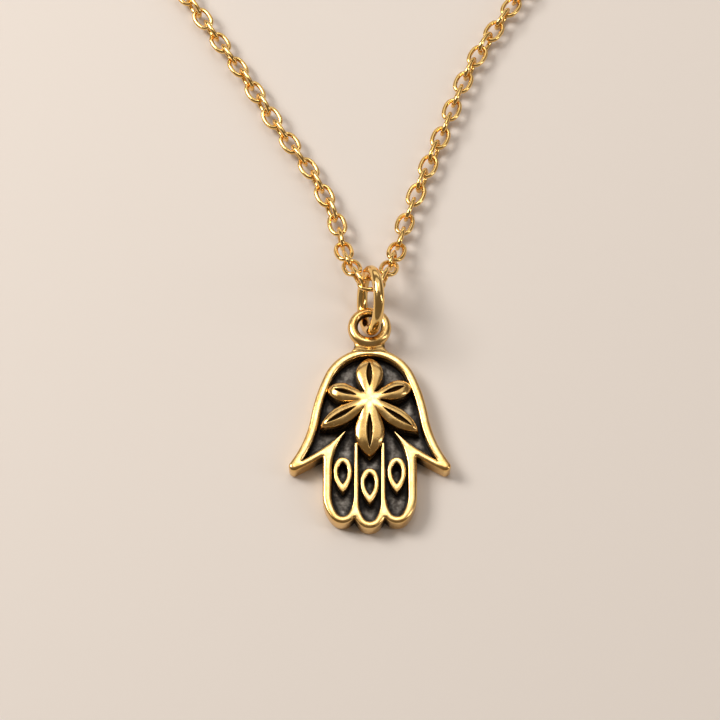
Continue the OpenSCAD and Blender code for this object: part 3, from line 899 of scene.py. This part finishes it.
def strand(route, last, clasp_x):
    """Middles and ways of a side's links from the clasp to the hooked ones, about PITCH apart."""
    far = np.array(route)[HOOKED_LINKS - 1:][::-1] + [0, 0, CHAIN_Z]
    start = [clasp_x, CLASP_MIDDLE[1], CHAIN_Z]
    curve = spline_through(np.concatenate([[start], far, [last]]), SPAN_POINTS)
    length = lengths_along(curve)[-1]
    count = int(round(length / PITCH))
    s = length * np.arange(count) / count
    middle, ahead, behind = [at_lengths(curve, at) for at in (s, s + WAY_REACH, s - WAY_REACH)]
    way = ahead - behind
    return middle, way / np.linalg.norm(way, axis=1)[:, None]


far_left, far_left_ways = strand(LEFT_ROUTE, left_middles[-1], CLASP_MIDDLE[0] - clasp_reach)
far_right, far_right_ways = strand(RIGHT_ROUTE, right_middles[-1], CLASP_MIDDLE[0] + clasp_reach)
link_middles = np.concatenate([far_left, left_middles[::-1], [pass_middle],
                               right_middles, far_right[::-1]])
link_ways = np.concatenate([far_left_ways, -left_ways[::-1], [X_AXIS],
                            right_ways, -far_right_ways[::-1]])
link_index = np.arange(len(link_middles)) - len(far_left) - HOOKED_LINKS


def oval_side(v, half):
    """One coordinate of a superellipse |x/a|^p + |y/b|^p = 1, and of its outward normal.

    The power p is OVAL_POWER, half is a or b, and v is the cosine or sine of the angle.
    """
    place = half * np.sign(v) * np.abs(v) ** (2 / OVAL_POWER)
    return place, np.sign(v) * np.abs(place / half) ** (OVAL_POWER - 1) / half


def links(name, chosen, around, sides):
    """Oval links, alternately flat and on edge: a superellipse with a round wire carried along it."""
    pick = chosen(np.abs(link_index))
    index, centre, way = link_index[pick], link_middles[pick], link_ways[pick]
    centre[:, 2] = np.maximum(centre[:, 2], LINK_Z)
    flat = np.cross(way, Z_AXIS)
    flat /= np.linalg.norm(flat, axis=1)[:, None]
    up = np.cross(flat, way)
    sway = sum(size * np.sin(index * rate + start) for size, rate, start in SWAYS)
    standing = np.where(index % 2 == 1, np.pi / 2, 0)
    roll = standing + np.where(index == 0, PASS_ROLL, 0) + sway * (np.abs(index) > STILL_LINKS)
    x_dir = np.cos(roll)[:, None] * flat + np.sin(roll)[:, None] * up
    a = (np.arange(around) + 0.5) * TURN / around
    beside, out_beside = oval_side(np.cos(a), LINK_HALF_W)
    along, out_along = oval_side(np.sin(a), LINK_HALF_L)
    length = np.hypot(out_beside, out_along)
    out_beside, out_along = out_beside / length, out_along / length
    path = centre[:, None] + along[:, None] * way[:, None] + beside[:, None] * x_dir[:, None]
    out = out_along[:, None] * way[:, None] + out_beside[:, None] * x_dir[:, None]
    normal = np.cross(x_dir, way)[:, None, None]
    wire = circle_profile(LINK_WIRE_R, sides)
    points = path[:, :, None] + wire[:, :1] * out[:, :, None] + wire[:, 1:] * normal
    one = grid_faces(around, sides, True)
    faces = (one[None] + (np.arange(len(index)) * around * sides)[:, None, None]).reshape(-1, 4)
    return add_mesh(name, points.reshape(-1, 3), faces, ["chain"])


chain_near = links("chain_links_near", lambda away: away <= NEAR_LINKS, around=40, sides=12)
chain_far = links("chain_links_far", lambda away: away > NEAR_LINKS, around=20, sides=8)


def make_clasp():
    """A round ring with a small eye on each side."""
    middle = np.array([*CLASP_MIDDLE, CHAIN_Z])
    eye_x = clasp_ring_r + eye_r
    points, faces, start = [], [], 0
    for x, r, wire, rings, sides in [(0, clasp_ring_r, CLASP_WIRE, 96, 20),
                                     (-eye_x, eye_r, EYE_WIRE, 48, 16),
                                     (eye_x, eye_r, EYE_WIRE, 48, 16)]:
        p, f = torus(middle + x * X_AXIS, r, wire / 2, X_AXIS, Y_AXIS, rings, sides)
        points.append(p)
        faces += (f + start).tolist()
        start += len(p)
    return add_mesh("clasp_ring", np.concatenate(points), faces, ["clasp"])


clasp = make_clasp()


# Materials: the parts of each noise's range that are used
CLOUD_RANGE = (0.35, 0.65)
WEAR_RANGE = (0.35, 0.7)
MOTTLE_RANGE = (0.35, 0.68)
GRAIN_RANGE = (0.3, 0.7)

# Bumps: height in metres and strength
HAND_WORK_BUMP = (0.00004, 0.15)
SCRATCH_BUMP = (0.000004, 0.12)
CROSSING_BUMP = (0.000004, 0.1)
FINE_BUMP = (0.000005, 0.1)
PIT_BUMP = (0.00006, 0.5)
GRAIN_BUMP = (0.00002, 0.35)

# Finishes
PATINA_ROUGHER = 0.22
GUNMETAL_DARK = (0.09, 0.081, 0.075)
GUNMETAL_LIGHT = (0.32, 0.3, 0.275)
GUNMETAL_PATINA = (0.012, 0.011, 0.011)
GUNMETAL_ROUGH = (0.55, 0.38)
GUNMETAL_METALLIC = 0.85


def new_material(name):
    """A material with its nodes cleared, its shader and its output."""
    material = bpy.data.materials.new(name)
    material.use_nodes = True
    tree = material.node_tree
    tree.nodes.clear()
    out = tree.nodes.new("ShaderNodeOutputMaterial")
    shader = tree.nodes.new("ShaderNodeBsdfPrincipled")
    tree.links.new(shader.outputs["BSDF"], out.inputs["Surface"])
    return material, tree, shader


def noise(tree, scale, detail=4.0, turned=None, stretched=None):
    """Noise on Object coordinates with scale in features a metre, turned and stretched where given."""
    where = tree.nodes.new("ShaderNodeTexCoord").outputs["Object"]
    if turned is not None:
        mapping = tree.nodes.new("ShaderNodeMapping")
        mapping.inputs["Rotation"].default_value = turned
        mapping.inputs["Scale"].default_value = stretched
        tree.links.new(where, mapping.inputs["Vector"])
        where = mapping.outputs["Vector"]
    node = tree.nodes.new("ShaderNodeTexNoise")
    node.inputs["Scale"].default_value = scale
    node.inputs["Detail"].default_value = detail
    tree.links.new(where, node.inputs["Vector"])
    return node.outputs["Fac"]


def ranged(tree, value, low, high, to_low=0.0, to_high=1.0):
    """A value stretched from low..high to to_low..to_high and kept inside them."""
    node = tree.nodes.new("ShaderNodeMapRange")
    for key, number in (("From Min", low), ("From Max", high), ("To Min", to_low), ("To Max", to_high)):
        node.inputs[key].default_value = number
    tree.links.new(value, node.inputs["Value"])
    return node.outputs["Result"]


def mixed(tree, share, a, b):
    """Colour a where share is 0 and colour b where it is 1."""
    node = tree.nodes.new("ShaderNodeMix")
    node.data_type = "RGBA"
    tree.links.new(share, node.inputs["Factor"])
    for key, colour in (("A", a), ("B", b)):
        socket = [s for s in node.inputs if s.name == key and s.type == "RGBA"][0]
        if isinstance(colour, tuple):
            socket.default_value = (*colour, 1)
        else:
            tree.links.new(colour, socket)
    return [s for s in node.outputs if s.type == "RGBA"][0]


def maths(tree, kind, a, b):
    """One Math node on two values or numbers."""
    node = tree.nodes.new("ShaderNodeMath")
    node.operation = kind
    for socket, value in zip(node.inputs, (a, b)):
        if isinstance(value, (int, float)):
            socket.default_value = value
        else:
            tree.links.new(value, socket)
    return node.outputs["Value"]


def bumped(tree, shader, layers):
    """Bumps from (height value, distance in metres, strength) layers, one over another."""
    last = None
    for value, distance, strength in layers:
        node = tree.nodes.new("ShaderNodeBump")
        node.inputs["Distance"].default_value = distance
        node.inputs["Strength"].default_value = strength
        tree.links.new(value, node.inputs["Height"])
        if last is not None:
            tree.links.new(last, node.inputs["Normal"])
        last = node.outputs["Normal"]
    tree.links.new(last, shader.inputs["Normal"])


def patina_and_shade_share(tree, grain, uneven, low, high):
    """How far the patina and painted shade cover: the attribute, uneven by the grain, from low..high to
    0..1.
    """
    field = tree.nodes.new("ShaderNodeAttribute")
    field.attribute_name = "patina_and_shade"
    grained = ranged(tree, grain, *GRAIN_RANGE, -uneven, uneven)
    return ranged(tree, maths(tree, "ADD", field.outputs["Fac"], grained), low, high)


def gold(name, light, deep, rough_low, rough_high, patina_and_shade_colour=None):
    """Gold: a warm base with a cloudy tone, scratches in the bump, and patina and painted shade of the
    colour given.
    """
    material, tree, shader = new_material(name)
    cloud = noise(tree, scale=900.0)
    tone = mixed(tree, ranged(tree, cloud, *CLOUD_RANGE), light, deep)
    fine = noise(tree, scale=5200.0, detail=6.0)
    wear = noise(tree, scale=2600.0, detail=5.0)
    rough = ranged(tree, wear, *WEAR_RANGE, rough_low, rough_high)
    if patina_and_shade_colour is not None:
        # The dark colour is patina in the hollows, and also the painted dark reflection on the outer wall
        # and the painted shade on the neck.
        share = patina_and_shade_share(tree, fine, uneven=0.12, low=0.25, high=0.85)
        tone = mixed(tree, share, tone, patina_and_shade_colour)
        rough = maths(tree, "ADD", rough, maths(tree, "MULTIPLY", share, PATINA_ROUGHER))
    tree.links.new(tone, shader.inputs["Base Color"])
    tree.links.new(rough, shader.inputs["Roughness"])
    shader.inputs["Metallic"].default_value = 1.0
    scratches = noise(tree, scale=700.0, detail=3.0, turned=(0.2, 0.1, 0.7), stretched=(1, 24, 1))
    crossing = noise(tree, scale=700.0, detail=3.0, turned=(0.1, 0.3, -0.6), stretched=(1, 26, 1))
    hand_work = noise(tree, scale=420.0, detail=2.0)
    bumped(tree, shader, [(hand_work, *HAND_WORK_BUMP), (scratches, *SCRATCH_BUMP),
                          (crossing, *CROSSING_BUMP), (fine, *FINE_BUMP)])
    return material


antiqued_gold = gold("antiqued_gold_finish", light=(0.88, 0.6, 0.25), deep=(0.8, 0.5, 0.17),
                     rough_low=0.16, rough_high=0.29, patina_and_shade_colour=(0.035, 0.02, 0.008))
polished_gold = gold("polished_gold_finish", light=(0.94, 0.65, 0.26), deep=(0.88, 0.56, 0.18),
                     rough_low=0.09, rough_high=0.2)


def gunmetal():
    """The recess: dark grey metal, mottled, rough like fine sand casting."""
    material, tree, shader = new_material("recess_gunmetal")
    mottle = noise(tree, scale=2200.0, detail=6.0)
    tone = mixed(tree, ranged(tree, mottle, *MOTTLE_RANGE), GUNMETAL_DARK, GUNMETAL_LIGHT)
    grain = noise(tree, scale=6500.0, detail=8.0)
    share = patina_and_shade_share(tree, grain, uneven=0.15, low=0.1, high=0.9)
    tone = mixed(tree, share, tone, GUNMETAL_PATINA)
    tree.links.new(tone, shader.inputs["Base Color"])
    rough = ranged(tree, mottle, *GRAIN_RANGE, *GUNMETAL_ROUGH)
    tree.links.new(rough, shader.inputs["Roughness"])
    shader.inputs["Metallic"].default_value = GUNMETAL_METALLIC
    pits = noise(tree, scale=2600.0)
    bumped(tree, shader, [(pits, *PIT_BUMP), (grain, *GRAIN_BUMP)])
    return material


recess_gunmetal = gunmetal()

for piece in [hand, flower_middle, bail, neck] + petals + teardrops:
    piece.data.materials.append(antiqued_gold)
for piece in [jump_ring, chain_near, chain_far, clasp]:
    piece.data.materials.append(polished_gold)

# The recess floor takes the dark finish, up to just over its fillet
FILLET_REACH = 1.1
hand.data.materials.append(recess_gunmetal)
centres = np.zeros(len(hand.data.polygons) * 3)
hand.data.polygons.foreach_get("center", centres)
centres = centres.reshape(-1, 3) / MM
at_floor = np.abs(centres[:, 2] - FLOOR_Z) < FLOOR_FILLET * FILLET_REACH
at_floor &= inside(centres[:, :2], whole(recess_outline()))
hand.data.polygons.foreach_set("material_index", at_floor.astype(np.int32))


# Floor, lights and camera

FLOOR_HALF = 900.0
FLOOR_MIDDLE_Y = 60
FLOOR_COLOUR = (0.83, 0.775, 0.74, 1)
FLOOR_ROUGHNESS = 0.7
HAND_AT = (0, 2, 1)


def make_floor():
    """A plain square under everything."""
    corners = np.array([[-1, -1, 0], [1, -1, 0], [1, 1, 0], [-1, 1, 0]]) * FLOOR_HALF
    corners[:, 1] += FLOOR_MIDDLE_Y
    mesh = bpy.data.meshes.new("floor")
    mesh.from_pydata((corners * MM).tolist(), [], [(0, 1, 2, 3)])
    floor = bpy.data.objects.new("floor", mesh)
    bpy.context.scene.collection.objects.link(floor)
    material, _, shader = new_material("floor_cream")
    shader.inputs["Base Color"].default_value = FLOOR_COLOUR
    shader.inputs["Roughness"].default_value = FLOOR_ROUGHNESS
    mesh.materials.append(material)


make_floor()


def soft_light(name, place, size_x, size_y, power, colour):
    """A rectangular area light at place, turned to face the hand; sizes in millimetres."""
    data = bpy.data.lights.new(name, "AREA")
    data.shape = "RECTANGLE"
    data.size = size_x * MM
    data.size_y = size_y * MM
    data.energy = power
    data.color = colour
    lamp = bpy.data.objects.new(name, data)
    lamp.location = Vector(place) * MM
    lamp.rotation_euler = (Vector(HAND_AT) - Vector(place)).to_track_quat("-Z", "Y").to_euler()
    bpy.context.scene.collection.objects.link(lamp)


# Lights: name, place, width and height in millimetres, power and colour
LIGHTS = [
    ("light_back", (0, 270, 520), 760, 480, 0.88, (1, 0.97, 0.92)),
    ("light_left", (-330, 150, 330), 200, 200, 1.6, (1, 0.95, 0.88)),
    ("light_right", (420, -60, 280), 60, 340, 0.35, (1, 0.97, 0.94)),
    ("light_star", (0, 195, 405), 90, 80, 0.11, (1, 0.98, 0.95)),
    ("light_low", (0, 470, 150), 560, 150, 0.25, (1, 0.96, 0.9)),
]
for row in LIGHTS:
    soft_light(*row)

ROOM_COLOUR = (0.5, 0.4, 0.3, 1)
ROOM_STRENGTH = 0.33
scene = bpy.context.scene
scene.view_settings.view_transform = "Standard"
scene.view_settings.look = "None"
world = bpy.data.worlds.new("room")
scene.world = world
world.use_nodes = True
background = world.node_tree.nodes["Background"]
background.inputs["Color"].default_value = ROOM_COLOUR
background.inputs["Strength"].default_value = ROOM_STRENGTH

CAMERA_PLACE = np.array([-0.90, -79.04, 183.92])
LENS_MM = 106.6
SENSOR_MM = 36.0
CLIP_NEAR_M = 0.01
CLIP_FAR_M = 10.0
camera_data = bpy.data.cameras.new("camera")
camera_data.lens = LENS_MM
camera_data.sensor_width = SENSOR_MM
camera_data.clip_start = CLIP_NEAR_M
camera_data.clip_end = CLIP_FAR_M
camera = bpy.data.objects.new("camera", camera_data)
camera.location = CAMERA_PLACE * MM
camera.rotation_euler = (np.pi / 2 - RING_VIEW, 0, 0)
scene.collection.objects.link(camera)
scene.camera = camera
